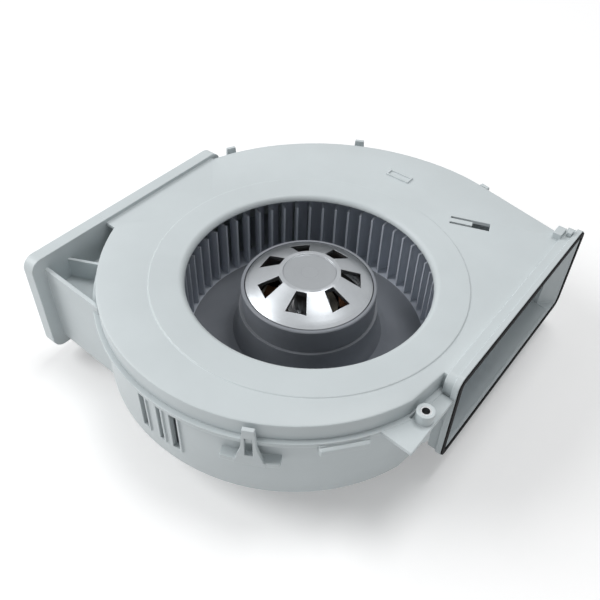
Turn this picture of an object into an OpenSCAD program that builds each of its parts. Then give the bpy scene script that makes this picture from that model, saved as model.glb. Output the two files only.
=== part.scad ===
// Single-inlet centrifugal blower driven by an external-rotor DC motor.
// Millimetres, +Z up. The origin is on the rotor axis at the underside of the electronics cover.
// +X faces out of the outlet. The scroll widens clockwise, seen from the inlet.

/* [Scroll housing] */
// Radius of the scroll wall at the tongue
scroll_r = 110; // [108:0.5:113]
// Growth of the scroll radius per radian of wrap
scroll_growth = 0.0765; // [0.07:0.0005:0.08]
// Height of the housing from its floor to its top plate
housing_h = 64; // [62:0.5:72]
// Wall thickness of both housing shells
wall = 2.5; // [2:0.1:3]
// Height of the cover's skirt, from the seam to the top plate
skirt_h = 11; // [9:0.5:14]
// Rounding of the cover's top edge
top_round = 1.6; // [1:0.1:2]
// Rounding of the lower shell's bottom edge
bottom_round = 4; // [3:0.5:5]
// How far the rim under the seam stands out of the wall
rim_out = 3.1; // [2:0.1:3.5]
// Thickness of the rim under the seam
rim_h = 2.4; // [2:0.1:3.5]
// Radius of the bend between the scroll and the straight outlet wall
bend_r = 120; // [100:1:140]
// Angle turned by that bend
bend_a = 15.7; // [13:0.1:17]
// Radius of the tongue's nose
tongue_nose_r = 4; // [3:0.1:4.5]

/* [Inlet] */
// Throat radius of the inlet
inlet_r = 75.5; // [73:0.5:76]
// Radius of the rolled edge round the inlet
lip_r = 4; // [3:0.5:6]
// Radius of the shallow raised land round the inlet
land_r = 97; // [92:1:102]
// Height of that land
land_h = 0.6; // [0.4:0.1:1]

/* [Outlet flange] */
// Distance from the rotor axis to the outlet face
outlet_x = 115; // [113:0.5:122]
// Depth of the outlet flange
flange_t = 9; // [7:0.5:10]
// Front end of the outlet flange, along Y
outlet_front = -22.5; // [-24:0.5:-21]
// Back end of the outlet flange, along Y
outlet_back = 147; // [143:0.5:150]
// Depth of the flange's proud front rim
flange_rim_t = 3.5; // [2.5:0.1:4.5]
// How far the rest of the flange lies behind that rim
flange_step = 1.2; // [0.6:0.1:1.4]
// Width of the flange's rim round the opening
rim_w = 4.5; // [4:0.1:6]
// How far the flange stands above the top plate
flange_proud = 2.6; // [1.5:0.1:3.5]
// How far the flange reaches below the housing floor
flange_drop = 2; // [1:0.1:4]
// Corner radius of the outlet flange
outlet_corner = 7; // [5:0.5:9]
// Width of the outlet gasket
gasket_w = 3.5; // [2.5:0.1:3.7]
// Depth of the gasket's groove
gasket_seat = 1.2; // [0.8:0.1:1.6]
// How far the gasket stands out of its groove
gasket_proud = 0.8; // [0.4:0.1:1.5]

/* [Side mount] */
// Gap between the scroll's widest point at the left and the mount's outer face
mount_proud = 3; // [2:0.1:4]
// Thickness of the side mount
mount_t = 8.5; // [8:0.5:10]
// Front end of the side mount, along Y
mount_front = -105.5; // [-108:0.5:-104]
// Back end of the side mount, along Y
mount_back = 60; // [56:1:64]
// Where the cover's ridge ends on the side mount, along Y
ridge_front = -47; // [-50:1:-44]
// How far the side mount reaches below the housing floor
mount_drop = 8; // [5:0.5:10]
// How far the side mount's upper edge stands above the top plate
mount_rise = 2.5; // [1:0.5:4]
// Corner radius of the side mount
mount_corner = 8; // [6:0.5:10]
// How far the mount's front lip stands past the pocket's front wall
pocket_lip = 8.5; // [7:0.5:10]
// Depth of the pocket's web below the top plate
web_drop = 9; // [7:0.5:12]
// Depth of the pocket's front wall below the top plate
pocket_wall_drop = 6; // [4:0.5:8]
// Depth of the pocket's floor below the top plate
pocket_floor_drop = 26; // [22:1:32]
// Depth of the moulded recesses in the mount's outer face
mount_recess = 4; // [3:0.5:5]
// Radius of the mount's screw holes
mount_hole_r = 1.8; // [1.5:0.1:2.2]
// Depth of the mount's screw holes
mount_hole_depth = 7; // [5:0.5:7]

/* [Impeller] */
// Number of forward-curved blades
blade_count = 54; // [44:1:58]
// Radius at the blades' outer edges
blade_out_r = 92; // [90:0.5:93]
// Radius at the blades' inner edges
blade_in_r = 77; // [76:0.5:79]
// Thickness of a blade
blade_t = 1.3; // [1:0.1:1.6]
// Radius of a blade's curve as a share of its depth
blade_curve = 0.73; // [0.7:0.01:0.9]
// Gap between the top plate and the impeller's top ring
impeller_gap = 9; // [8.5:0.5:11]
// Gap between the housing floor and the impeller's back plate
back_gap = 7.5; // [7:0.5:9]
// Thickness of the impeller's back plate
back_t = 2; // [1.6:0.1:2.6]
// Depth of the hub sleeve's ledge below the top plate
ledge_drop = 27; // [25:0.5:30]
// How far the blades' tops lie below the ring's
blade_drop = 0.8; // [0.5:0.1:1.5]
// Width of the ring that ties the blades' top outer edges
ring_w = 2.4; // [2:0.1:3]
// Height of that ring
ring_h = 6; // [4:0.5:8]
// Wall thickness of the hub sleeve round the rotor bell
hub_wall = 2.2; // [2:0.1:3]
// Depth of the hub sleeve's upper edge below the top plate
hub_drop = 10; // [9.5:0.5:12]

/* [Motor] */
// Outer radius of the rotor bell
bell_r = 40; // [39:0.1:42]
// Wall thickness of the rotor bell
bell_wall = 2.2; // [2:0.1:2.6]
// Depth of the bell's flat top below the top plate
bell_drop = 0; // [-1:0.1:1]
// Height of the bell's sloped shoulder
shoulder_h = 10; // [9:0.5:11]
// Number of cooling windows in the bell
window_count = 7; // [6:1:8]
// Thickness of the steel yoke ring
yoke_t = 2; // [1.6:0.1:2.4]
// Thickness of the magnet ring
magnet_t = 3.4; // [3:0.1:4]
// Height of the yoke and the magnet ring
magnet_h = 26; // [24:0.5:28]
// Air gap between the magnets and the stator
air_gap = 0.7; // [0.5:0.05:1]
// Height of the stator's laminated core
core_h = 20; // [18:0.5:22]
// Number of stator teeth
tooth_count = 9; // [9,12]
// Width of a stator tooth
tooth_w = 5; // [4.5:0.1:5.5]
// Thickness of the winding round a tooth
coil_t = 2.6; // [2:0.1:2.8]
// Outer radius of the bearing tube
tube_r = 14; // [13.5:0.1:15]

/* [Bearings] */
// Shaft radius
shaft_r = 4; // [3.8:0.1:4.2]
// Outer radius of a bearing
bearing_r = 11; // [11:0.1:11.6]
// Width of a bearing
bearing_w = 7; // [6.5:0.1:8]
// Radius of a bearing ball
ball_r = 1.98; // [1.9:0.01:2]
// Balls in a bearing
ball_count = 7; // [6,7]

/* [Electronics] */
// Radius of the electronics cover
pan_r = 78; // [76:0.5:79]
// Height of the electronics cover
pan_h = 20; // [19:0.5:24]
// Wall thickness of the electronics cover
pan_wall = 2.5; // [2:0.1:3]
// Distance of the driver board's edge from the electronics cover's rim
board_margin = 20; // [18:0.5:22]
// Thickness of the driver board
board_t = 1.6; // [1:0.1:2]
// Gap under the driver board
board_lift = 2.5; // [2:0.1:3]
// Radius of the motor flange
motor_flange_r = 60; // [59:0.5:61]
// Thickness of the motor flange
motor_flange_t = 3; // [2.5:0.1:3.5]
// Pitch radius of the motor's three mounting screws
motor_screw_pcr = 54; // [53:0.5:55]
// Distance of the electronics cover's four screws from its rim
pan_screw_inset = 10; // [9.5:0.5:11]

/* [Hidden] */
$fn = 96;
eps = 0.01;
// Radial clearance of a running fit
run_gap = 0.05;
// Clearance between pieces that drop into each other
fit_gap = 0.2;

housing_grey = [0.78, 0.81, 0.82];
impeller_black = [0.2, 0.2, 0.22];
steel = [0.62, 0.63, 0.65];

// Heights, from the underside up
floor_z = pan_h;
floor_top = floor_z + wall;
top_z = floor_z + housing_h;
ceiling_z = top_z - wall;
seam_z = top_z - skirt_h;

// Scroll outline: angles run clockwise from the tongue
tongue_a = -24;
scroll_end_a = -272;
scroll_step = 4;
bend_steps = 4;
duct_front = outlet_front + rim_w;
throat_x = outlet_x - flange_t - 2;
tongue_nose = [throat_x - 4.5, duct_front - tongue_nose_r];
widest_r = scroll_r*exp(scroll_growth*(tongue_a + 180)*PI/180);
growth_a = atan(scroll_growth);
bend_start_n = scroll_end_a + growth_a + 360;
bend_end_n = bend_start_n - bend_a;

// Side mount
mount_x = -widest_r - mount_proud;
mount_inner_x = mount_x + mount_t;
pocket_wall_y = mount_front + pocket_lip;
pocket_slant = 2.4;
mount_low_z = floor_z - mount_drop;
mount_high_z = top_z + mount_rise;

// Impeller and rotor
blade_curve_r = blade_curve*(blade_out_r - blade_in_r);
back_z = floor_top + back_gap;
impeller_top = top_z - impeller_gap;
hub_top = top_z - hub_drop;
ledge_z = top_z - ledge_drop;
bell_top = top_z - bell_drop;
bell_low = back_z + back_t;
shoulder_z = bell_top - shoulder_h;
yoke_r = bell_r - bell_wall;
magnet_r = yoke_r - yoke_t;
magnet_in_r = magnet_r - magnet_t;
core_r = magnet_in_r - air_gap;
magnet_top = bell_low + magnet_h;
core_z = bell_low + (magnet_h - core_h)/2;
core_top = core_z + core_h;
window_a = -15.7;
disc_r = 16;
window_in_r = disc_r + 3;
window_out_r = bell_r - 8.5;
disc_step = 0.8;

// Motor carrier and bearings
motor_flange_z = floor_z - 1.5 - motor_flange_t;
lower_bearing_z = motor_flange_z + 4.5;
upper_bearing_z = core_top - bearing_w;
spring_h = 1.5;
boss_z = upper_bearing_z + bearing_w;
boss_r = 9;
race_t = 2.1;
ball_pitch_r = (shaft_r + bearing_r)/2;
cage_t = 1.2;
circlip_t = 1;
shim_t = 1;
circlip_z = lower_bearing_z - shim_t - circlip_t;
shaft_low_z = motor_flange_z + 0.5;
motor_hole_r = 46;
grommet_r = 5;
grommet_bead_t = 1.5;
motor_screw_r = 1.9;
vent_r = 7;
vent_pcr = motor_hole_r - vent_r - 1;

// Electronics
pan_screw_pcr = pan_r - pan_screw_inset;
board_r = pan_r - board_margin;
board_z = pan_wall + board_lift;
pan_post_h = 6;
pan_screw_r = 1.4;
socket_a = 180;
socket_w = 18;

// Radius and place of the scroll wall at angle a, moved outwards by d
function scroll_at(a, d = 0) = (scroll_r*exp(scroll_growth*(tongue_a - a)*PI/180) + d)*[cos(a), sin(a)];
function wall_normal(a) = a + growth_a;
bend_centre = scroll_at(scroll_end_a) - bend_r*[cos(bend_start_n), sin(bend_start_n)];
function bend_at(n, d = 0) = bend_centre + (bend_r + d)*[cos(n), sin(n)];
// The straight outlet wall runs on from the bend
function outlet_wall_y(x, d = 0) =
    let (p = bend_at(bend_end_n, d)) p[1] + (x - p[0])*tan(bend_end_n - 90);
// Closed outline of the scroll and its outlet duct as far as x = end_x, moved outwards by d
function outline(end_x, d = 0) = concat(
    [for (a = [tongue_a : -scroll_step : scroll_end_a]) scroll_at(a, d)],
    [for (i = [1 : bend_steps]) bend_at(bend_start_n - bend_a*i/bend_steps, d)],
    [[end_x, outlet_wall_y(end_x, d)], [end_x, duct_front - d], [throat_x + d, duct_front - d]]);

// A closed solid through rings of the same outline, each [height, outward offset]
module loft(rings, end_x) {
    n = len(outline(end_x));
    m = len(rings);
    points = concat(
        [for (r = rings) for (p = outline(end_x, r[1])) [p[0], p[1], r[0]]],
        [[0, 0, rings[0][0]], [0, 0, rings[m - 1][0]]]);
    sides = [for (k = [0 : m - 2]) for (i = [0 : n - 1])
        let (a = k*n + i, b = k*n + (i + 1) % n) each [[a, b, b + n], [a, b + n, a + n]]];
    low_cap = [for (i = [0 : n - 1]) [n*m, (i + 1) % n, i]];
    high_cap = [for (i = [0 : n - 1]) [n*m + 1, (m - 1)*n + i, (m - 1)*n + (i + 1) % n]];
    polyhedron(points, concat(sides, low_cap, high_cap));
}

// Places children on the wall: +X outwards, +Z up
module on_wall(place) {
    translate([place[0][0], place[0][1], 0]) rotate([0, 0, place[1]]) children();
}

module rounded_rect(size, r) {
    translate([r, 0]) square([size[0] - 2*r, size[1]]);
    translate([0, r]) square([size[0], size[1] - 2*r]);
    for (x = [r, size[0] - r])
        for (y = [r, size[1] - r])
            translate([x, y]) circle(r);
}

// A plate that stands across X: its outline lies in Y and Z
module upright(x, t, low, size, r) {
    translate([x, low[0], low[1]]) rotate([90, 0, 90]) linear_extrude(t) rounded_rect(size, r);
}

module ring(r_out, r_in, z, h) {
    translate([0, 0, z]) difference() {
        cylinder(r = r_out, h = h);
        translate([0, 0, -eps]) cylinder(r = r_in, h = h + 2*eps);
    }
}

module around(count, r, start = 0) {
    for (i = [0 : count - 1]) rotate([0, 0, start + i*360/count]) translate([r, 0, 0]) children();
}

// ---- Housing ----

outlet_low_z = floor_z - flange_drop;
outlet_high_z = top_z + flange_proud;
outlet_size = [outlet_back - outlet_front, outlet_high_z - outlet_low_z];

// The flange: a proud front rim on a slightly smaller plate
module outlet_frame() {
    upright(outlet_x - flange_rim_t, flange_rim_t, [outlet_front, outlet_low_z], outlet_size, outlet_corner);
    upright(outlet_x - flange_t, flange_t - 1, [outlet_front + flange_step, outlet_low_z + flange_step],
        outlet_size - 2*flange_step*[1, 1], outlet_corner - flange_step);
}

// The gasket's ring, as deep as t from the outlet face
module gasket_ring(x, t, slack) {
    inset = (rim_w - gasket_w)/2 - slack;
    size = outlet_size - 2*inset*[1, 1];
    width = gasket_w + 2*slack;
    difference() {
        upright(x, t, [outlet_front + inset, outlet_low_z + inset], size, outlet_corner - inset);
        upright(x - eps, t + 2*eps, [outlet_front + inset + width, outlet_low_z + inset + width],
            size - 2*width*[1, 1], outlet_corner - inset - width);
    }
}

// The air's way: the scroll, and the funnel through the outlet flange
module air_space(low, high) {
    translate([0, 0, low]) linear_extrude(high - low) polygon(outline(outlet_x - 2, -wall));
}

module outlet_mouth() {
    x0 = outlet_x - flange_t - 1;
    y0 = duct_front + wall + 1;
    y1 = outlet_wall_y(x0, -wall) - 1;
    hull() {
        translate([x0, y0, floor_top + 1]) cube([1, y1 - y0, ceiling_z - floor_top - 2]);
        upright(outlet_x, 1, [outlet_front + rim_w, outlet_low_z + rim_w],
            outlet_size - 2*rim_w*[1, 1], outlet_corner - rim_w);
    }
}

module tongue(low, high) {
    translate([0, 0, low]) linear_extrude(high - low) hull() {
        translate(tongue_nose) circle(tongue_nose_r, $fn = 32);
        translate([throat_x, duct_front]) circle(wall/2, $fn = 32);
        translate(scroll_at(tongue_a, -wall/2)) circle(wall/2, $fn = 32);
    }
}

module mount_plate(low, high, front, back) {
    intersection() {
        upright(mount_x, mount_t, [mount_front, mount_low_z],
            [mount_back - mount_front, mount_high_z - mount_low_z], mount_corner);
        translate([mount_x - 1, front, low]) cube([mount_t + 2, back - front, high - low]);
    }
}

latch_places = [
    [scroll_at(-67), wall_normal(-67)],
    [scroll_at(-209), wall_normal(-209)],
    [scroll_at(-247), wall_normal(-247)],
    [bend_at(bend_end_n), bend_end_n]];
latch_gap = rim_out + 0.4;
latch_t = 2.4;
latch_low_z = seam_z - 17;
latch_foot_w = 17;
ledge_w = 32;
ledge_h = 3;

// Loop that springs over the cover's nub: wide at its foot, narrow at its top
module latch_loop(high) {
    foot = latch_foot_w/2;
    waist_z = seam_z - latch_low_z - 3;
    difference() {
        translate([latch_gap + latch_t, 0, latch_low_z]) rotate([90, 0, -90])
            linear_extrude(latch_t) polygon([[-foot, 0], [foot, 0], [foot/2, waist_z], [3.2, high - latch_low_z],
                [-3.2, high - latch_low_z], [-foot/2, waist_z]]);
        translate([latch_gap - 1, -2.2, seam_z - 9]) cube([latch_t + 2, 4.4, 9 + skirt_h/2]);
    }
    translate([-wall/2, -foot, latch_low_z]) cube([latch_gap + wall/2 + latch_t, latch_foot_w, ledge_h]);
}

// Wide ledge that the front latch stands on, following the wall
module latch_ledge() {
    translate([0, 0, latch_low_z]) linear_extrude(ledge_h) intersection() {
        polygon(outline(outlet_x - flange_t, latch_gap + latch_t));
        translate(latch_places[0][0]) rotate(latch_places[0][1])
            square([4*rim_out, ledge_w], center = true);
    }
}

module latch_nub() {
    translate([-wall/2, -1.8, seam_z + 1]) cube([wall/2 + latch_gap + 1, 3.6, skirt_h/2 - 1.4]);
}

slot_places = [[-100.3, 5], [-94, 3.2], [-89, 5]];
slot_low_z = floor_z + 17;
slot_high_z = seam_z - rim_h - 2.5;

slot_rib = 1.3;
slot_rib_out = 0.8;

module wall_slots() {
    for (s = slot_places)
        on_wall([scroll_at(s[0]), wall_normal(s[0])])
            translate([-2*wall, -s[1]/2, slot_low_z]) cube([4*wall, s[1], slot_high_z - slot_low_z]);
}

// Raised rib round each slot
module slot_frames() {
    for (s = slot_places)
        on_wall([scroll_at(s[0]), wall_normal(s[0])])
            translate([-wall/2, -s[1]/2 - slot_rib, slot_low_z - slot_rib])
                cube([wall/2 + slot_rib_out, s[1] + 2*slot_rib, slot_high_z - slot_low_z + 2*slot_rib]);
}

lug_a = -43.6;
lug_w = 27;
lug_h = 5;

// Lug under the rim, right of the front latch
module rim_lug() {
    on_wall([scroll_at(lug_a), wall_normal(lug_a)])
        translate([-wall/2, -lug_w/2, seam_z - rim_h - lug_h]) cube([wall/2 + rim_out, lug_w, lug_h + 1]);
}

boss_place = [outlet_x - 7, -43];
apron_z = seam_z - rim_h;
front_boss_r = 5;
front_hole_r = 2.2;
sleeve_wall = 0.9;
boss_low_z = apron_z - 12;
boss_high_z = top_z - 4;

// Apron and screw boss beside the outlet flange's front end, moulded on the housing's rim
module front_apron() color(housing_grey) difference() {
    union() {
        translate([0, 0, apron_z]) linear_extrude(rim_h) polygon([[outlet_x - 22, -63.5], [outlet_x - 1, -65],
            [outlet_x - 1, outlet_front], [throat_x - 4, outlet_front]]);
        translate([boss_place[0], boss_place[1], boss_low_z])
            cylinder(r = front_boss_r, h = boss_high_z - boss_low_z);
        translate([boss_place[0] - 12, boss_place[1] - wall/2, boss_low_z])
            cube([12, wall, apron_z - boss_low_z + 1]);
    }
    translate([0, 0, floor_z]) linear_extrude(housing_h) polygon(outline(outlet_x - flange_t, 0));
    translate([0, 0, apron_z - 1]) linear_extrude(rim_h + 1.5) polygon(outline(outlet_x - flange_t, rim_out));
    translate([boss_place[0], boss_place[1], boss_low_z - 1])
        cylinder(r = front_hole_r + sleeve_wall, h = housing_h);
}

// Narrow slot in the rim between the skirt and the front boss
module rim_slot() {
    translate([boss_place[0] - front_boss_r - 1.7, boss_place[1] - 4, apron_z - 1])
        rotate([0, 0, -8]) cube([1.8, 9, rim_h + 1.5]);
}

// Open pocket between the scroll and the side mount, below the cover's edge at the seam
module pocket() {
    x0 = mount_inner_x - 1;
    x1 = scroll_at(-129)[0] + 6;
    wall_high = top_z - pocket_wall_drop;
    difference() {
        union() {
            translate([0, 0, floor_z]) linear_extrude(wall_high - floor_z) polygon([[x0, pocket_wall_y],
                [x1, pocket_wall_y - pocket_slant], [x1, pocket_wall_y - pocket_slant + wall],
                [x0, pocket_wall_y + wall]]);
            translate([0, 0, top_z - pocket_floor_drop]) linear_extrude(wall) polygon([[x0, pocket_wall_y + 1],
                [x1, pocket_wall_y - pocket_slant + 1], scroll_at(-150), [x0, ridge_front + 12]]);
            translate([x0, pocket_wall_y + 16, floor_z]) rotate([0, 0, 25])
                cube([24, 2, top_z - web_drop - floor_z]);
        }
        translate([0, 0, seam_z]) linear_extrude(housing_h) polygon(outline(outlet_x - flange_t, fit_gap));
    }
}

module pan_bosses() {
    around(4, pan_screw_pcr, 45) translate([0, 0, pan_post_h]) cylinder(r = 4.5, h = floor_z - pan_post_h + 1);
}

module scroll_housing() color(housing_grey) difference() {
    union() {
        loft([[floor_z, -bottom_round], [floor_z + 0.3*bottom_round, -0.3*bottom_round],
            [floor_z + bottom_round, 0], [seam_z, 0]], outlet_x - flange_t + 1);
        translate([0, 0, seam_z - rim_h]) linear_extrude(rim_h) polygon(outline(outlet_x - flange_t + 1, rim_out));
        intersection() {
            outlet_frame();
            translate([0, outlet_front - 1, outlet_low_z - 1])
                cube([outlet_x + 1, outlet_size[0] + 2, seam_z - outlet_low_z + 1]);
        }
        mount_plate(mount_low_z - 1, seam_z, mount_front - 1, mount_back + 1);
        mount_plate(seam_z - 1, mount_high_z + 1, mount_front - 1, ridge_front);
        pocket();
        for (i = [0 : 3]) on_wall(latch_places[i]) latch_loop(i == 3 ? top_z - 3 : top_z + 1);
        latch_ledge();
        rim_lug();
        slot_frames();
        pan_bosses();
    }
    difference() {
        air_space(floor_top, seam_z + 1);
        tongue(floor_z, seam_z + 2);
    }
    outlet_mouth();
    gasket_ring(outlet_x - gasket_seat, gasket_seat + 1, 0);
    wall_slots();
    translate([0, 0, floor_z - 1]) cylinder(r = motor_hole_r, h = wall + 2);
    around(3, motor_screw_pcr, 90) translate([0, 0, floor_z - 1]) cylinder(r = grommet_r, h = wall + 2);
    around(4, pan_screw_pcr, 45) translate([0, 0, pan_post_h - 1]) cylinder(r = pan_screw_r, h = 11);
    mount_recesses();
    mount_holes();
    rim_slot();
}

// Metal sleeve that takes the clamping load of the front boss's screw
module boss_sleeve() color(steel) translate([boss_place[0], boss_place[1], 0])
    ring(front_hole_r + sleeve_wall, front_hole_r, boss_low_z, boss_high_z - boss_low_z);

mount_hole_y = [mount_front + 10, mount_back - 10];
mount_hole_z = [mount_low_z + 9, seam_z - 9];

module mount_holes() {
    for (y = mount_hole_y)
        for (z = mount_hole_z)
            translate([mount_x - 1, y, z]) rotate([0, 90, 0]) cylinder(r = mount_hole_r, h = mount_hole_depth + 1);
}

// Coring on the mount's outer face, between ribs
module mount_recesses() {
    cells = 4;
    rib = 3;
    span = mount_hole_y[1] - mount_hole_y[0] - 16;
    cell = (span - (cells - 1)*rib)/cells;
    for (i = [0 : cells - 1])
        translate([mount_x - 1, mount_hole_y[0] + 8 + i*(cell + rib), mount_low_z + rib])
            cube([mount_recess + 1, cell, seam_z - mount_low_z - 2*rib]);
}

module inlet_cover() color(housing_grey) difference() {
    union() {
        difference() {
            union() {
                loft([[seam_z, 0], [top_z - top_round, 0], [top_z - 0.3*top_round, -0.3*top_round],
                    [top_z, -top_round]], outlet_x - flange_t + 1);
                translate([0, 0, top_z - 1]) cylinder(r1 = land_r + 1, r2 = land_r - land_h, h = land_h + 1);
                mount_plate(seam_z, mount_high_z + 1, ridge_front, mount_back + 1);
                translate([mount_inner_x - 1, ridge_front, ceiling_z])
                    cube([20, mount_back - mount_corner - ridge_front, wall]);
                intersection() {
                    outlet_frame();
                    translate([0, outlet_front - 1, seam_z]) cube([outlet_x + 1, outlet_size[0] + 2, housing_h]);
                }
                for (p = latch_places) on_wall(p) latch_nub();
                flange_tabs();
            }
            difference() {
                air_space(seam_z - 1, ceiling_z);
                tongue(seam_z - 2, top_z);
            }
            outlet_mouth();
            gasket_ring(outlet_x - gasket_seat, gasket_seat + 1, 0);
        }
        translate([0, 0, top_z + land_h - lip_r]) cylinder(r = inlet_r + lip_r, h = lip_r);
        pad_frame();
    }
    inlet_bore();
    hook_window();
}

tab_low_z = top_z - 1;

// Two upright tabs at the flange's back end
module flange_tabs() {
    x0 = outlet_x - flange_t - 5;
    y0 = outlet_wall_y(x0) - 9;
    translate([x0, y0, tab_low_z]) cube([5.5, 9, flange_proud + 3]);
    translate([outlet_x - flange_t + 2, y0 + 6, tab_low_z]) cube([3, 5, flange_proud + 2.8]);
}

hook_place = [53, 105];
hook_turn = 20;
hook_size = [26, 8];

// Window in the top plate with a springy hook standing in it
module hook_window() {
    translate([hook_place[0], hook_place[1], ceiling_z - 1]) rotate([0, 0, hook_turn]) difference() {
        translate([-hook_size[0]/2, -hook_size[1]/2, 0]) cube([hook_size[0], hook_size[1], wall + 2]);
        translate([-hook_size[0]/2 - 1, -hook_size[1]/4, -1]) cube([hook_size[0]*0.6, hook_size[1]/2, wall + 4]);
    }
}

pad_place = [-21, 117];
pad_size = [18, 7];
pad_h = 1;

// Low raised frame on the top plate
module pad_frame() {
    translate([pad_place[0], pad_place[1], top_z - 1]) difference() {
        cube([pad_size[0], pad_size[1], pad_h + 1]);
        translate([1.2, 1.2, 1.2]) cube([pad_size[0] - 2.4, pad_size[1] - 2.4, pad_h]);
    }
}

// The inlet's bore with its rolled edge
module inlet_bore() {
    edge_z = top_z + land_h;
    rotate_extrude() difference() {
        translate([0, edge_z - lip_r - 1]) square([inlet_r + lip_r, lip_r + 2]);
        translate([inlet_r + lip_r, edge_z - lip_r]) circle(lip_r);
        translate([inlet_r, edge_z - lip_r - 2]) square([lip_r + 1, 2]);
    }
}

module outlet_gasket() color([0.08, 0.08, 0.09]) {
    gasket_ring(outlet_x - gasket_seat, gasket_seat + gasket_proud, 0);
}

// ---- Impeller ----

// One forward-curved blade: an arc band between the blades' inner and outer radii
module blade_profile() {
    centre = [blade_in_r + blade_curve_r*0.35, -blade_curve_r*0.92];
    intersection() {
        translate(centre) difference() {
            circle(blade_curve_r + blade_t/2);
            circle(blade_curve_r - blade_t/2);
        }
        difference() {
            circle(blade_out_r - 0.5);
            circle(blade_in_r);
        }
        translate([blade_in_r - 2, -blade_curve_r]) square([blade_out_r - blade_in_r + 4, 3*blade_curve_r]);
    }
}

module impeller() color(impeller_black) {
    for (i = [0 : blade_count - 1])
        rotate([0, 0, i*360/blade_count]) translate([0, 0, back_z + back_t/2])
            linear_extrude(impeller_top - blade_drop - back_z - back_t/2) blade_profile();
    ring(blade_out_r, blade_out_r - ring_w, impeller_top - ring_h, ring_h);
    hub_r = bell_r + hub_wall;
    // Back plate, dished up to the hub sleeve
    rotate_extrude() polygon([[bell_r - 4, back_z], [blade_out_r, back_z], [blade_out_r, back_z + back_t],
        [hub_r + 22, back_z + back_t], [hub_r + 12, back_z + back_t + 2], [hub_r + 6, back_z + back_t + 6],
        [hub_r + 3, ledge_z - 10], [hub_r + 1.6, ledge_z], [hub_r, ledge_z], [hub_r, hub_top - 0.6],
        [hub_r - 0.6, hub_top], [bell_r, hub_top], [bell_r, bell_low], [bell_r - 4, bell_low]]);
}

// ---- Rotor ----

module bell_window() {
    linear_extrude(shoulder_h + 6) polygon([[window_in_r, -3.3], [window_out_r, -6.5], [window_out_r, 6.5],
        [window_in_r, 3.3]]);
}

module rotor_bell() color([0.8, 0.81, 0.83]) {
    slope_r = [disc_r + 2.7, bell_r - 9, bell_r - 3];
    slope_z = [for (k = [0, 0.55, 0.85]) bell_top - k*shoulder_h];
    difference() {
        rotate_extrude() polygon([[0, bell_top - disc_step], [disc_r, bell_top - disc_step],
            [disc_r + 0.5, bell_top], [slope_r[0], slope_z[0]], [slope_r[1], slope_z[1]],
            [slope_r[2], slope_z[2]], [bell_r - 0.6, shoulder_z], [bell_r, shoulder_z - 1.5],
            [bell_r, bell_low], [yoke_r, bell_low], [yoke_r, shoulder_z - 2.2],
            [slope_r[2] - 1, slope_z[2] - bell_wall], [slope_r[1] - 1, slope_z[1] - bell_wall],
            [slope_r[0] - 1, slope_z[0] - disc_step - bell_wall], [0, bell_top - disc_step - bell_wall]]);
        for (i = [0 : window_count - 1])
            rotate([0, 0, window_a + i*360/window_count]) translate([0, 0, shoulder_z - 4]) bell_window();
    }
    ring(boss_r, shaft_r, boss_z, bell_top - disc_step - bell_wall - boss_z + 1);
}

module rotor_yoke() color(steel) ring(yoke_r, magnet_r, bell_low, magnet_h);

module magnet_ring() color([0.25, 0.25, 0.27]) ring(magnet_r, magnet_in_r, bell_low, magnet_h);

module shaft() color(steel) difference() {
    translate([0, 0, shaft_low_z]) cylinder(r = shaft_r, h = bell_top - 5 - shaft_low_z);
    ring(shaft_r + 1, shaft_r - 0.5, circlip_z, circlip_t);
}

module shaft_circlip() color(steel) difference() {
    ring(shaft_r + 1.6, shaft_r - 0.5, circlip_z, circlip_t);
    translate([0, -1.5, circlip_z - 1]) cube([shaft_r + 3, 3, circlip_t + 2]);
}

module shim_washer() color(steel) ring(shaft_r + race_t - 0.3, shaft_r, circlip_z + circlip_t, shim_t);

// ---- Bearings ----

module ball_groove(z) {
    translate([0, 0, z + bearing_w/2]) rotate_extrude() translate([ball_pitch_r, 0]) circle(ball_r + run_gap);
}

module inner_race(z) color(steel) difference() {
    ring(shaft_r + race_t, shaft_r, z, bearing_w);
    ball_groove(z);
}

module outer_race(z) color(steel) difference() {
    ring(bearing_r, bearing_r - race_t, z, bearing_w);
    ball_groove(z);
}

module ball_cage(z) color([0.75, 0.6, 0.3]) difference() {
    ring(ball_pitch_r + cage_t/2, ball_pitch_r - cage_t/2, z + 1, bearing_w - 2);
    translate([0, 0, z + bearing_w/2]) around(ball_count, ball_pitch_r - cage_t)
        rotate([0, 90, 0]) cylinder(r = ball_r + run_gap, h = 2*cage_t);
}

module balls(z) color(steel) translate([0, 0, z + bearing_w/2]) around(ball_count, ball_pitch_r) sphere(ball_r);

module upper_inner_race() inner_race(upper_bearing_z);
module upper_outer_race() outer_race(upper_bearing_z);
module upper_ball_cage() ball_cage(upper_bearing_z);
module upper_balls() balls(upper_bearing_z);
module lower_inner_race() inner_race(lower_bearing_z);
module lower_outer_race() outer_race(lower_bearing_z);
module lower_ball_cage() ball_cage(lower_bearing_z);
module lower_balls() balls(lower_bearing_z);

module preload_spring() color(steel) {
    ring(bearing_r - 0.2, bearing_r - 1.4, lower_bearing_z + bearing_w, spring_h);
}

// ---- Stator ----

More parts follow.
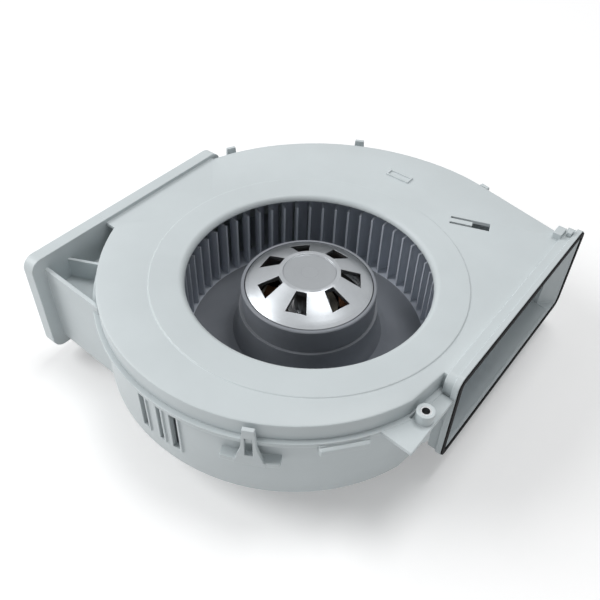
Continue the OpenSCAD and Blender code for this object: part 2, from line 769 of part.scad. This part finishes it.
module motor_flange() color([0.7, 0.71, 0.73]) difference() {
    union() {
        translate([0, 0, motor_flange_z]) cylinder(r = motor_flange_r, h = motor_flange_t);
        translate([0, 0, motor_flange_z]) cylinder(r = tube_r, h = boss_z + 1 - motor_flange_z);
        translate([0, 0, motor_flange_z]) cylinder(r1 = tube_r + 10, r2 = tube_r + 1, h = 10);
        translate([0, 0, motor_flange_z]) cylinder(r = tube_r + 3, h = core_z - insulator_t - motor_flange_z);
    }
    translate([0, 0, motor_flange_z - 1])
        cylinder(r = bearing_r, h = lower_bearing_z + bearing_w + spring_h + 1 - motor_flange_z);
    translate([0, 0, motor_flange_z]) cylinder(r = bearing_r - 1.4, h = boss_z + 2 - motor_flange_z);
    translate([0, 0, upper_bearing_z]) cylinder(r = bearing_r, h = bearing_w + 2);
    around(3, motor_screw_pcr, 90) translate([0, 0, motor_flange_z - 1])
        cylinder(r = motor_screw_r, h = motor_flange_t + 2);
    around(6, vent_pcr, 30) translate([0, 0, motor_flange_z - 1]) cylinder(r = vent_r, h = motor_flange_t + 2);
}

hub_out_r = tube_r + 5;
shoe_t = 2.2;
shoe_gap_a = 5;

module core_profile() {
    difference() {
        union() {
            circle(hub_out_r);
            for (i = [0 : tooth_count - 1]) rotate([0, 0, i*360/tooth_count])
                translate([hub_out_r - 1, -tooth_w/2]) square([core_r - hub_out_r - shoe_t/2 + 1, tooth_w]);
            difference() {
                circle(core_r);
                circle(core_r - shoe_t);
                for (i = [0 : tooth_count - 1]) rotate([0, 0, (i + 0.5)*360/tooth_count])
                    translate([0, -shoe_gap_a/2]) square([core_r + 1, shoe_gap_a]);
            }
        }
        circle(tube_r);
    }
}

module stator_core() color(steel) translate([0, 0, core_z]) linear_extrude(core_h) core_profile();

insulator_t = 1;

module insulator(z) color([0.9, 0.88, 0.8]) translate([0, 0, z]) linear_extrude(insulator_t) core_profile();

module upper_insulator() insulator(core_top);
module lower_insulator() insulator(core_z - insulator_t);

module stator_coils() color([0.72, 0.4, 0.2]) for (i = [0 : tooth_count - 1])
    rotate([0, 0, i*360/tooth_count]) {
        x0 = hub_out_r + 0.5;
        length = core_r - shoe_t - x0 - 0.5;
        low = core_z - insulator_t;
        h = core_h + 2*insulator_t;
        difference() {
            translate([x0, -tooth_w/2 - coil_t, low - coil_t]) cube([length, tooth_w + 2*coil_t, h + 2*coil_t]);
            translate([x0 - 1, -tooth_w/2, low]) cube([length + 2, tooth_w, h]);
        }
    }

module motor_grommets() color([0.1, 0.1, 0.1]) around(3, motor_screw_pcr, 90) {
    ring(grommet_r, motor_screw_r, floor_z - grommet_bead_t, wall + 2*grommet_bead_t);
    ring(grommet_r + 2, motor_screw_r, floor_z - grommet_bead_t, grommet_bead_t);
    ring(grommet_r + 2, motor_screw_r, floor_top, grommet_bead_t);
}

module motor_screws() color(steel) around(3, motor_screw_pcr, 90) {
    translate([0, 0, motor_flange_z - 2])
        cylinder(r = motor_screw_r, h = floor_top + grommet_bead_t - motor_flange_z + 2.5);
    difference() {
        translate([0, 0, floor_top + grommet_bead_t]) cylinder(r = 3.8, h = 2.4);
        translate([0, 0, floor_top + grommet_bead_t + 1]) cylinder(r = 1.6, h = 2, $fn = 6);
    }
}

// ---- Electronics ----

module driver_board() color([0.1, 0.35, 0.2]) difference() {
    translate([0, 0, board_z]) cylinder(r = board_r, h = board_t);
    around(3, motor_screw_pcr, 90) translate([0, 0, board_z - 1]) cylinder(r = 2.6, h = board_t + 2);
}

capacitor_r = 3.4;
capacitor_l = 12;
capacitor_pcr = board_r - 18;

module board_capacitors() color([0.15, 0.15, 0.3]) for (a = [200, 230, 260])
    rotate([0, 0, a]) translate([capacitor_pcr, 0, board_z + board_t + capacitor_r]) rotate([90, 0, 0])
        translate([0, 0, -capacitor_l/2]) cylinder(r = capacitor_r, h = capacitor_l);

transistor_size = [7, 9, 2.4];
transistor_x = board_r - 20;

module power_transistors() color([0.12, 0.12, 0.12]) for (i = [0 : 5])
    rotate([0, 0, -60 + i*22])
        translate([transistor_x, -transistor_size[1]/2, board_z + board_t]) cube(transistor_size);

socket_len = 16;
socket_h = 8.6;
socket_x = pan_r - 12;
socket_z = board_z + board_t;

module connector_socket() color([0.92, 0.92, 0.9]) rotate([0, 0, socket_a]) difference() {
    translate([socket_x - 12, -socket_w/2, socket_z]) cube([socket_len + 12, socket_w, socket_h]);
    translate([socket_x, -socket_w/2 + 1.2, socket_z + 1.2]) cube([socket_len + 1, socket_w - 2.4, socket_h - 2.4]);
}

pin_count = 5;
pin_len = 8;

module connector_pins() color([0.85, 0.7, 0.35]) rotate([0, 0, socket_a])
    for (i = [0 : pin_count - 1])
        translate([socket_x, (i - (pin_count - 1)/2)*2.8 - 0.4, socket_z + socket_h/2 - 0.4])
            cube([pin_len, 0.8, 0.8]);

module electronics_cover() color([0.3, 0.31, 0.33]) difference() {
    union() {
        difference() {
            rotate_extrude() polygon([[0, 0], [pan_r - 2, 0], [pan_r, 2], [pan_r, pan_h], [0, pan_h]]);
            translate([0, 0, pan_wall]) cylinder(r = pan_r - pan_wall, h = pan_h);
        }
        around(4, pan_screw_pcr, 45) cylinder(r = 6, h = pan_post_h);
        around(6, board_r - 4, 0) translate([0, 0, pan_wall - 1]) cylinder(r = 2.5, h = board_lift + 1);
    }
    around(4, pan_screw_pcr, 45) translate([0, 0, -1]) {
        cylinder(r = 3.6, h = 4);
        cylinder(r = pan_screw_r + 0.3, h = pan_post_h + 2);
    }
    rotate([0, 0, socket_a]) translate([pan_r - 10, -socket_w/2 - fit_gap, socket_z - fit_gap])
        cube([20, socket_w + 2*fit_gap, socket_h + 2*fit_gap]);
}

module cover_screws() color(steel) around(4, pan_screw_pcr, 45) {
    translate([0, 0, 1]) cylinder(r = pan_screw_r, h = pan_post_h + 8);
    difference() {
        translate([0, 0, 0.8]) cylinder(r = 3.2, h = 2.2);
        translate([0, 0, 0.3]) cylinder(r = 1.3, h = 1.5, $fn = 6);
    }
}

inlet_cover();
scroll_housing();
front_apron();
boss_sleeve();
outlet_gasket();
impeller();
rotor_bell();
rotor_yoke();
magnet_ring();
shaft();
upper_inner_race();
upper_outer_race();
upper_ball_cage();
upper_balls();
lower_inner_race();
lower_outer_race();
lower_ball_cage();
lower_balls();
preload_spring();
shim_washer();
shaft_circlip();
motor_flange();
stator_core();
upper_insulator();
lower_insulator();
stator_coils();
motor_grommets();
motor_screws();
driver_board();
board_capacitors();
power_transistors();
connector_socket();
connector_pins();
electronics_cover();
cover_screws();
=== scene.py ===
import math

import bmesh
import bpy
from mathutils import Matrix, Vector


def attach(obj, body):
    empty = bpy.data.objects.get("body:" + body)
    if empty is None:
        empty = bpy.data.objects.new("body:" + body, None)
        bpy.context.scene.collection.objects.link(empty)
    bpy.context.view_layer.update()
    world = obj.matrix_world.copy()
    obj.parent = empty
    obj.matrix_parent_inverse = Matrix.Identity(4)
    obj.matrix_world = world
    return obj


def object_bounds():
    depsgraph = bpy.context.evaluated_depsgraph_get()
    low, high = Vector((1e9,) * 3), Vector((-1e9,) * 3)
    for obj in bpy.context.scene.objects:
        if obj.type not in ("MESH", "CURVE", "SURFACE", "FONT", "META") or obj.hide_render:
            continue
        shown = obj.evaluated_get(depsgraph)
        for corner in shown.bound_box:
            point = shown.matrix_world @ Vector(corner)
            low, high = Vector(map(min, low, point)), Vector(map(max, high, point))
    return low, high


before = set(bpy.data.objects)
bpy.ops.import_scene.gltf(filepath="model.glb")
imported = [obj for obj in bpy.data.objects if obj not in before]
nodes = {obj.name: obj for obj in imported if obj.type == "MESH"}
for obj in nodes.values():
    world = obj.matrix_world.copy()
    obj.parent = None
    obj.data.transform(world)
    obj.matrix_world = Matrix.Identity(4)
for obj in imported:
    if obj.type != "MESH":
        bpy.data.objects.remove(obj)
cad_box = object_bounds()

# Lengths are in metres in the CAD's frame: z is up from the floor, and the rotor turns about the z axis.

bpy.context.scene.view_settings.view_transform = "Standard"

# ---------------------------------------------------------------- camera

EYE = Vector((0.1849, -0.2579, 0.3686))
HEADING = Vector((-0.596, 0.803, 0.0)).normalized()
PITCH = math.radians(44.28)
ROLL = math.radians(2.1)
LENS_MM = 42.11
SENSOR_MM = 36.0
NEAREST = 0.01
FARTHEST = 20.0


def make_camera():
    forward = HEADING * math.cos(PITCH) - Vector((0, 0, math.sin(PITCH)))
    right = forward.cross(Vector((0, 0, 1))).normalized()
    up = right.cross(forward)
    rolled_up = up * math.cos(ROLL) - right * math.sin(ROLL)
    rolled_right = right * math.cos(ROLL) + up * math.sin(ROLL)
    turn = Matrix((rolled_right, rolled_up, -forward)).transposed()

    data = bpy.data.cameras.new("camera")
    data.lens = LENS_MM
    data.sensor_width = SENSOR_MM
    data.sensor_fit = "HORIZONTAL"
    data.clip_start = NEAREST
    data.clip_end = FARTHEST
    camera = bpy.data.objects.new("camera", data)
    camera.matrix_world = Matrix.Translation(EYE) @ turn.to_4x4()
    bpy.context.scene.collection.objects.link(camera)
    bpy.context.scene.camera = camera


make_camera()

# ---------------------------------------------------------------- node helpers

EDGE_SAMPLES = 6
CREVICE_SAMPLES = 6
PALE_EDGE_COSINE = 0.8  # an edge counts in full for the paler edge, partly wear and partly painted highlight, where its rounded normal turns this far from the flat one


class Shader:
    """A node material made step by step; most calls return an output socket."""

    def __init__(self, name):
        self.material = bpy.data.materials.new(name)
        self.material.use_nodes = True
        self.material.diffuse_color = (0.5, 0.5, 0.5, 1)
        self.tree = self.material.node_tree
        self.tree.nodes.clear()
        self.bsdf = self.node("ShaderNodeBsdfPrincipled")
        self.node("ShaderNodeOutputMaterial", {"Surface": self.bsdf.outputs[0]})
        self.place = self.node("ShaderNodeTexCoord").outputs["Object"]

    def node(self, kind, inputs=(), **settings):
        made = self.tree.nodes.new(kind)
        for key, value in settings.items():
            setattr(made, key, value)
        for key, value in dict(inputs).items():
            self.put(made.inputs[key], value)
        return made

    def put(self, socket, value):
        if isinstance(value, bpy.types.NodeSocket):
            self.tree.links.new(value, socket)
        else:
            socket.default_value = value

    def set(self, **values):
        """Sets or links the surface's own sockets, named with _ for a space."""
        for key, value in values.items():
            self.put(self.bsdf.inputs[key.replace("_", " ")], value)

    def stretched(self, sx, sy, sz):
        return self.node("ShaderNodeMapping", {"Vector": self.place, "Scale": (sx, sy, sz)}).outputs[0]

    def noise(self, scale, detail=3.0, rough=0.5, where=None):
        inputs = {"Vector": where or self.place, "Scale": scale, "Detail": detail, "Roughness": rough}
        return self.node("ShaderNodeTexNoise", inputs).outputs[0]

    def math(self, kind, a, b=0.0):
        return self.node("ShaderNodeMath", {0: a, 1: b}, operation=kind).outputs[0]

    def ranged(self, value, low, high, to_low, to_high):
        inputs = {"Value": value, "From Min": low, "From Max": high, "To Min": to_low, "To Max": to_high}
        return self.node("ShaderNodeMapRange", inputs).outputs[0]

    def blend(self, share, a, b):
        made = self.node("ShaderNodeMix", data_type="RGBA")
        self.put(made.inputs[0], share)
        self.put(made.inputs[6], a)
        self.put(made.inputs[7], b)
        return made.outputs[2]

    def polar(self):
        """Distance from the rotor's axis, and height."""
        apart = self.node("ShaderNodeSeparateXYZ", {0: self.place}).outputs
        squares = [self.math("POWER", apart[axis], 2.0) for axis in (0, 1)]
        return self.math("SQRT", self.math("ADD", *squares)), apart[2]

    def edges(self, reach):
        """Rounded normal, and how strongly an edge lies within reach."""
        rounded = self.node("ShaderNodeBevel", {"Radius": reach}, samples=EDGE_SAMPLES).outputs[0]
        flat = self.node("ShaderNodeNewGeometry").outputs["Normal"]
        dot = self.node("ShaderNodeVectorMath", {0: rounded, 1: flat}, operation="DOT_PRODUCT")
        return rounded, self.ranged(dot.outputs["Value"], 1.0, PALE_EDGE_COSINE, 0.0, 1.0)

    def crevice(self, reach, low, high, most):
        """Mask for painted shade: from most, where other surfaces close in within reach, to zero in the open."""
        openness = self.node("ShaderNodeAmbientOcclusion", {"Distance": reach}, samples=CREVICE_SAMPLES)
        return self.ranged(openness.outputs["AO"], low, high, most, 0.0)

    def bump(self, height, strength, distance, normal=None):
        made = self.node("ShaderNodeBump", {"Height": height, "Strength": strength, "Distance": distance})
        if normal is not None:
            self.put(made.inputs["Normal"], normal)
        return made.outputs[0]


def tone(color, factor):
    return tuple(min(channel * factor, 1.0) for channel in color) + (1.0,)


# ---------------------------------------------------------------- materials

CORNER_REACH = 0.004  # how far painted shade reaches from an inside corner
HOLLOW_REACH = 0.018  # how far shade gathers in slots, pockets and the duct
DEPTH_REACH = 0.03  # how far painted shade gathers between the parts inside the motor
BLADE_EDGE_R = 0.0764  # just inside the blades' inner edges; the blades beyond it are painted lighter
DISC_R = 0.0158  # flat disc in the middle of the dome
FADE = 0.0003


def moulded(name, color, rough, grain=0.00005, grain_scale=2200.0, edge=0.5, edge_reach=0.0006,
            corner_shade=0.15, specular=0.45, mottle=0.03, deep=0.0, hollow=0.0, lit_beyond=None):
    """Injection-moulded plastic: eroded-tool grain, faint flow marks, paler edges that are partly wear and partly
    painted highlight, painted shade in inside corners.

    hollow and deep paint shade into slots and into what lies deep inside. The last argument is a radius and the
    tone of the painted light beyond it.
    """
    s = Shader(name)
    cloud = s.noise(14.0, 4.0, 0.6)
    flow = s.noise(9.0, 5.0, 0.65, s.stretched(1.0, 1.0, 6.0))
    scuffs = s.noise(160.0, 3.0, 0.7)
    ripple = s.noise(70.0, 3.0)
    fine = s.noise(grain_scale, 2.0, 0.6)
    rounded, edge_wear_and_highlight = s.edges(edge_reach)

    body = s.blend(s.ranged(cloud, 0.35, 0.65, 0.0, 1.0), tone(color, 1 - mottle), tone(color, 1 + mottle))
    body = s.blend(s.ranged(flow, 0.45, 0.75, 0.0, 0.35), body, tone(color, 1 - 2.2 * mottle))
    # paler edges: partly scuffed wear, partly a painted highlight along convex edges
    scuff_and_highlight = s.math("MULTIPLY", edge_wear_and_highlight, s.ranged(scuffs, 0.3, 0.7, 0.4 * edge, edge))
    body = s.blend(scuff_and_highlight, body, tone(color, 1.35))
    # painted shade in inside corners: the colour darkened where other surfaces close in
    body = s.blend(s.crevice(CORNER_REACH, 0.35, 0.8, corner_shade), body, tone(color, 0.55))
    # painted shade in slots, pockets and the duct
    if hollow:
        body = s.blend(s.crevice(HOLLOW_REACH, 0.15, 0.75, hollow), body, tone(color, 0.4))
    # painted shade, near black, between the parts deep inside the motor
    if deep:
        body = s.blend(s.crevice(DEPTH_REACH, 0.35, 0.95, deep), body, tone(color, 0.05))
    # painted light: beyond the given radius the colour turns lighter
    if lit_beyond:
        start, factor = lit_beyond
        beyond = s.ranged(s.polar()[0], start, start + FADE, 0.0, 0.85)
        body = s.blend(beyond, body, tone(color, factor))

    uneven = s.math("ADD", s.math("MULTIPLY", fine, 0.5), cloud)
    height = s.math("ADD", fine, s.math("MULTIPLY", ripple, 1.5))
    s.set(Base_Color=body, Specular_IOR_Level=specular,
          Roughness=s.ranged(uneven, 0.5, 1.0, rough - 0.05, rough + 0.07),
          Normal=s.bump(height, 0.35, grain, rounded))
    return s.material


def metal(name, color, rough, turned=0.0, grain=0.00003, tarnish=0.1, deep=0.0, disc=0.0):
    """Bare metal: turned rings where it is spun or ground, tarnish, paler edges that are partly wear and partly
    painted highlight, painted shade in inside corners and, where asked, deep inside, and a darker disc of radius
    disc.
    """
    s = Shader(name)
    cloud = s.noise(45.0, 4.0, 0.65)
    radius, height = s.polar()
    section = s.node("ShaderNodeCombineXYZ", {0: radius, 1: height, 2: 0.0}).outputs[0]
    rings = s.noise(5200.0, 3.0, 0.7, section)
    speck = s.noise(1400.0, 3.0, 0.6)
    streak = s.blend(turned, speck, rings)
    rounded, edge_wear_and_highlight = s.edges(0.0003)

    body = s.blend(s.ranged(cloud, 0.3, 0.7, 0.0, 1.0), tone(color, 1.0), tone(color, 1 - tarnish))
    # paler edges: partly wear, partly a painted highlight
    body = s.blend(s.math("MULTIPLY", edge_wear_and_highlight, 0.5), body, tone(color, 1.12))
    # painted shade in inside corners
    body = s.blend(s.crevice(CORNER_REACH, 0.3, 0.95, 0.45), body, tone(color, 0.4))
    # painted shade, near black, deep inside the motor
    if deep:
        body = s.blend(s.crevice(DEPTH_REACH, 0.35, 0.95, deep), body, tone(color, 0.04))
    if disc:
        body = s.blend(s.ranged(radius, disc, disc + 0.0004, 0.65, 0.0), body, tone(color, 0.75))

    s.set(Base_Color=body, Metallic=1.0, Roughness=s.ranged(streak, 0.3, 0.7, rough - 0.06, rough + 0.09),
          Normal=s.bump(streak, 0.4, grain, rounded))
    return s.material


def board(name):
    """Solder mask over copper traces."""
    s = Shader(name)
    tracks = s.node("ShaderNodeTexBrick", {
        "Vector": s.place, "Scale": 120.0, "Mortar Size": 0.035, "Color1": (0.012, 0.10, 0.045, 1),
        "Color2": (0.015, 0.13, 0.06, 1), "Mortar": (0.02, 0.2, 0.09, 1)})
    dull = s.ranged(s.noise(60.0), 0.4, 0.6, 0.0, 0.4)
    s.set(Base_Color=s.blend(dull, tracks.outputs["Color"], (0.01, 0.07, 0.035, 1)),
          Roughness=s.ranged(s.noise(400.0), 0.3, 0.7, 0.28, 0.4),
          Normal=s.bump(tracks.outputs["Fac"], 0.3, 0.00004))
    return s.material


def winding(name):
    """Enamelled wire laid in rows."""
    s = Shader(name)
    rows = s.node("ShaderNodeTexWave", {"Vector": s.place, "Scale": 480.0, "Distortion": 1.5, "Detail": 2.0},
                  wave_type="BANDS", bands_direction="Z").outputs["Color"]
    varnish = s.ranged(s.noise(90.0), 0.35, 0.65, 0.0, 1.0)
    body = s.blend(varnish, (0.45, 0.16, 0.05, 1), (0.62, 0.27, 0.09, 1))
    # painted shade, near black, where the windings lie deep inside the motor
    body = s.blend(s.crevice(DEPTH_REACH, 0.35, 0.95, 0.97), body, (0.012, 0.006, 0.004, 1))
    s.set(Base_Color=body, Metallic=0.85, Roughness=s.ranged(s.noise(300.0), 0.3, 0.7, 0.25, 0.38),
          Normal=s.bump(rows, 0.6, 0.0002))
    return s.material


HOUSING = (0.595, 0.647, 0.662)
CHARCOAL = (0.215, 0.23, 0.255)

materials = {
    # the housing: paler edges raised as painted highlight, and painted shade in its slots, pockets and duct
    "housing": moulded("housing_plastic", HOUSING, 0.42, edge=1.1, edge_reach=0.0008, corner_shade=0.05,
                       hollow=0.18),
    "gasket": moulded("gasket_foam", (0.012, 0.012, 0.013), 0.85, grain=0.0002, grain_scale=900.0, edge=0.1,
                      edge_reach=0.0004, corner_shade=0.0, specular=0.2),
    # the impeller: painted shade in its corners, and its blades painted lighter beyond BLADE_EDGE_R
    "impeller": moulded("impeller_plastic", CHARCOAL, 0.38, edge=0.7, edge_reach=0.0004, corner_shade=0.3,
                        mottle=0.1, lit_beyond=(BLADE_EDGE_R, 2.7)),
    "bell": metal("spun_aluminium", (0.41, 0.43, 0.45), 0.33, turned=1.0, tarnish=0.12, disc=DISC_R),
    "cast": metal("cast_aluminium", (0.58, 0.59, 0.61), 0.5, grain=0.0001, tarnish=0.15),
    "steel": metal("ground_steel", (0.56, 0.57, 0.59), 0.24, turned=1.0),
    "yoke": metal("zinc_plated_steel", (0.48, 0.49, 0.5), 0.4, tarnish=0.2),
    # magnet, laminations and insulators: painted near-black shade deep inside the motor
    "magnet": moulded("ferrite", (0.04, 0.04, 0.043), 0.55, grain=0.0001, grain_scale=1200.0, edge=0.3,
                      deep=0.8),
    "brass": metal("pressed_brass", (0.72, 0.53, 0.24), 0.3, tarnish=0.15),
    "laminations": metal("laminations", (0.33, 0.34, 0.36), 0.42, tarnish=0.25, deep=0.95),
    "winding": winding("enamelled_wire"),
    "cream": moulded("insulator_nylon", (0.72, 0.66, 0.5), 0.45, deep=0.97),
    "board": board("solder_mask"),
    "component": moulded("component_case", (0.02, 0.02, 0.023), 0.3, edge=0.4),
    "socket": moulded("socket_nylon", (0.76, 0.76, 0.71), 0.4),
    "pan": moulded("pan_plastic", (0.06, 0.063, 0.067), 0.5, grain=0.0001, grain_scale=1400.0),
}

DRESSED_IN = {
    "housing": ("inlet_cover", "scroll_housing", "front_apron"),
    "gasket": ("outlet_gasket", "motor_grommets"),
    "impeller": ("impeller",),
    "bell": ("rotor_bell",),
    "cast": ("motor_flange",),
    "steel": ("shaft", "upper_inner_race", "lower_inner_race", "upper_outer_race", "lower_outer_race",
              "upper_balls", "lower_balls", "shim_washer"),
    "yoke": ("boss_sleeve", "rotor_yoke", "preload_spring", "shaft_circlip", "motor_screws", "cover_screws"),
    "magnet": ("magnet_ring",),
    "brass": ("upper_ball_cage", "lower_ball_cage", "connector_pins"),
    "laminations": ("stator_core",),
    "winding": ("stator_coils",),
    "cream": ("upper_insulator", "lower_insulator"),
    "board": ("driver_board",),
    "component": ("board_capacitors", "power_transistors"),
    "socket": ("connector_socket",),
    "pan": ("electronics_cover",),
}
for finish, node_names in DRESSED_IN.items():
    for node_name in node_names:
        mesh = nodes[node_name].data
        mesh.materials.clear()
        mesh.materials.append(materials[finish])

# ---------------------------------------------------------------- smooth shading of the carried-over solids

SHARP_FROM = math.radians(24)
FACET_WELD = 2e-6
ROUND_NODES = ("inlet_cover", "scroll_housing", "impeller", "rotor_bell")


def shading_tree():
    """Joins a solid's facets and shades them smoothly, apart from edges sharper than SHARP_FROM."""
    tree = bpy.data.node_groups.new("shade_by_angle", "GeometryNodeTree")
    tree.interface.new_socket("Geometry", in_out="INPUT", socket_type="NodeSocketGeometry")
    tree.interface.new_socket("Geometry", in_out="OUTPUT", socket_type="NodeSocketGeometry")

    def add(kind, **settings):
        made = tree.nodes.new(kind)
        for key, value in settings.items():
            setattr(made, key, value)
        return made

    start = add("NodeGroupInput")
    merge = add("GeometryNodeMergeByDistance")
    merge.inputs["Distance"].default_value = FACET_WELD
    bare = add("GeometryNodeRemoveAttribute")
    bare.inputs["Name"].default_value = "custom_normal"
    smooth = add("GeometryNodeSetShadeSmooth", domain="FACE")
    sharp = add("GeometryNodeSetShadeSmooth", domain="EDGE")
    sharp.inputs["Shade Smooth"].default_value = False
    angle = add("GeometryNodeInputMeshEdgeAngle")
    over = add("FunctionNodeCompare", operation="GREATER_THAN")
    over.inputs[1].default_value = SHARP_FROM
    end = add("NodeGroupOutput")

    steps = (start, merge, bare, smooth, sharp, end)
    for step, following in zip(steps, steps[1:]):
        tree.links.new(step.outputs[0], following.inputs[0])
    tree.links.new(angle.outputs["Unsigned Angle"], over.inputs[0])
    tree.links.new(over.outputs[0], sharp.inputs["Selection"])
    return tree


by_angle = shading_tree()
for node_name in ROUND_NODES:
    nodes[node_name].modifiers.new("shading", "NODES").node_group = by_angle

# ---------------------------------------------------------------- raised pad on the latch lug

LUG_WALL = Vector((0.08177, -0.07787, 0))  # the wall behind the lug
LUG_TURN = math.radians(-39.2)  # the way the lug faces
UNDER_RIM = 0.0706  # height of the rim's underside
PAD_SUNK = 0.0028  # how far out from the wall the pad's back lies, inside the lug
PAD_PROFILE = ((0.0028, 0.0), (0.0036, 0.0), (0.0051, -0.0007), (0.0054, -0.0013), (0.0054, -0.0043),
               (0.0050, -0.0049), (0.0028, -0.0050))  # out from the wall, and up from the rim's underside
PAD_ENDS = ((0.0136, 0.0026), (0.0134, 0.0012), (0.0127, 0.0))  # along the lug, and how far drawn in


def lug_pad():
    """The pad that shows as a pale bar under the rim: chamfered all round, with its back in the lug."""
    outward = Vector((math.cos(LUG_TURN), math.sin(LUG_TURN), 0))
    along = Vector((-outward.y, outward.x, 0))
    stations = [(-step, drawn_in) for step, drawn_in in PAD_ENDS] + list(reversed(PAD_ENDS))
    points, faces = [], []
    for step, drawn_in in stations:
        for out, rise in PAD_PROFILE:
            place = LUG_WALL + along * step + outward * max(out - drawn_in, PAD_SUNK)
            points.append(place + Vector((0, 0, UNDER_RIM + rise)))
    count = len(PAD_PROFILE)
    for row in range(len(stations) - 1):
        for at in range(count):
            after = (at + 1) % count
            faces.append((row * count + at, row * count + after, (row + 1) * count + after, (row + 1) * count + at))
    faces.append(tuple(reversed(range(count))))
    faces.append(tuple(range((len(stations) - 1) * count, len(stations) * count)))

    pad_mesh = bpy.data.meshes.new("latch_lug_pad")
    pad_mesh.from_pydata(points, [], faces)
    pad_mesh.validate()
    pad = bpy.data.objects.new("latch_lug_pad", pad_mesh)
    bpy.context.scene.collection.objects.link(pad)
    turned = bmesh.new()
    turned.from_mesh(pad_mesh)
    bmesh.ops.recalc_face_normals(turned, faces=turned.faces)
    turned.to_mesh(pad_mesh)
    turned.free()
    pad_mesh.materials.append(materials["housing"])
    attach(pad, "housing")


lug_pad()

# ---------------------------------------------------------------- floor, light and background

WHITE = (1, 1, 1, 1)
FLOOR_SIZE = 8.0
FLOOR_GAP = 0.0002
FLOOR_COLOR = (0.86, 0.86, 0.86, 1)
FLOOR_LIFT = 0.24  # what the camera sees on top of the lit floor, so that it reaches white
SKY_COLOR = (0.98, 0.99, 1.0, 1)
SKY_STRENGTH = 0.32
AIM = Vector((0, 0, 0.04))


def camera_rays(tree):
    """One for rays that show the background: straight from the camera, or by way of metal or glass."""
    path = tree.nodes.new("ShaderNodeLightPath")
    total = path.outputs["Is Camera Ray"]
    for kind in ("Is Glossy Ray", "Is Transmission Ray"):
        most = tree.nodes.new("ShaderNodeMath")
        most.operation = "MAXIMUM"
        tree.links.new(total, most.inputs[0])
        tree.links.new(path.outputs[kind], most.inputs[1])
        total = most.outputs[0]
    return total


def make_floor():
    bpy.ops.mesh.primitive_plane_add(size=FLOOR_SIZE, location=(0, 0, cad_box[0][2] - FLOOR_GAP))
    floor = bpy.context.object
    floor.name = "floor"
    material = bpy.data.materials.new("floor")
    material.use_nodes = True
    tree = material.node_tree
    tree.nodes.clear()
    matte = tree.nodes.new("ShaderNodeBsdfDiffuse")
    matte.inputs["Color"].default_value = FLOOR_COLOR
    scale = tree.nodes.new("ShaderNodeMath")
    scale.operation = "MULTIPLY"
    scale.inputs[1].default_value = FLOOR_LIFT
    lift = tree.nodes.new("ShaderNodeEmission")
    lift.inputs["Color"].default_value = WHITE
    both = tree.nodes.new("ShaderNodeAddShader")
    out = tree.nodes.new("ShaderNodeOutputMaterial")
    tree.links.new(camera_rays(tree), scale.inputs[0])
    tree.links.new(scale.outputs[0], lift.inputs["Strength"])
    tree.links.new(matte.outputs[0], both.inputs[0])
    tree.links.new(lift.outputs[0], both.inputs[1])
    tree.links.new(both.outputs[0], out.inputs["Surface"])
    floor.data.materials.append(material)


def make_world():
    """Soft light all round, and plain white where the background itself is seen."""
    world = bpy.data.worlds.new("studio")
    bpy.context.scene.world = world
    world.use_nodes = True
    tree = world.node_tree
    tree.nodes.clear()
    soft = tree.nodes.new("ShaderNodeBackground")
    soft.inputs["Color"].default_value = SKY_COLOR
    soft.inputs["Strength"].default_value = SKY_STRENGTH
    white = tree.nodes.new("ShaderNodeBackground")
    white.inputs["Color"].default_value = WHITE
    mix = tree.nodes.new("ShaderNodeMixShader")
    out = tree.nodes.new("ShaderNodeOutputWorld")
    tree.links.new(camera_rays(tree), mix.inputs[0])
    tree.links.new(soft.outputs[0], mix.inputs[1])
    tree.links.new(white.outputs[0], mix.inputs[2])
    tree.links.new(mix.outputs[0], out.inputs[0])


def area_light(name, place, size, watts):
    data = bpy.data.lights.new(name, "AREA")
    data.shape = "DISK"
    data.size = size
    data.energy = watts
    lamp = bpy.data.objects.new(name, data)
    lamp.location = place
    lamp.rotation_euler = (AIM - Vector(place)).to_track_quat("-Z", "Y").to_euler()
    bpy.context.scene.collection.objects.link(lamp)


make_floor()
make_world()
area_light("key", (0.1, 0.8, 3.3), 1.3, 37.0)
area_light("fill", (-2.05, -1.3, 1.95), 1.8, 53.0)
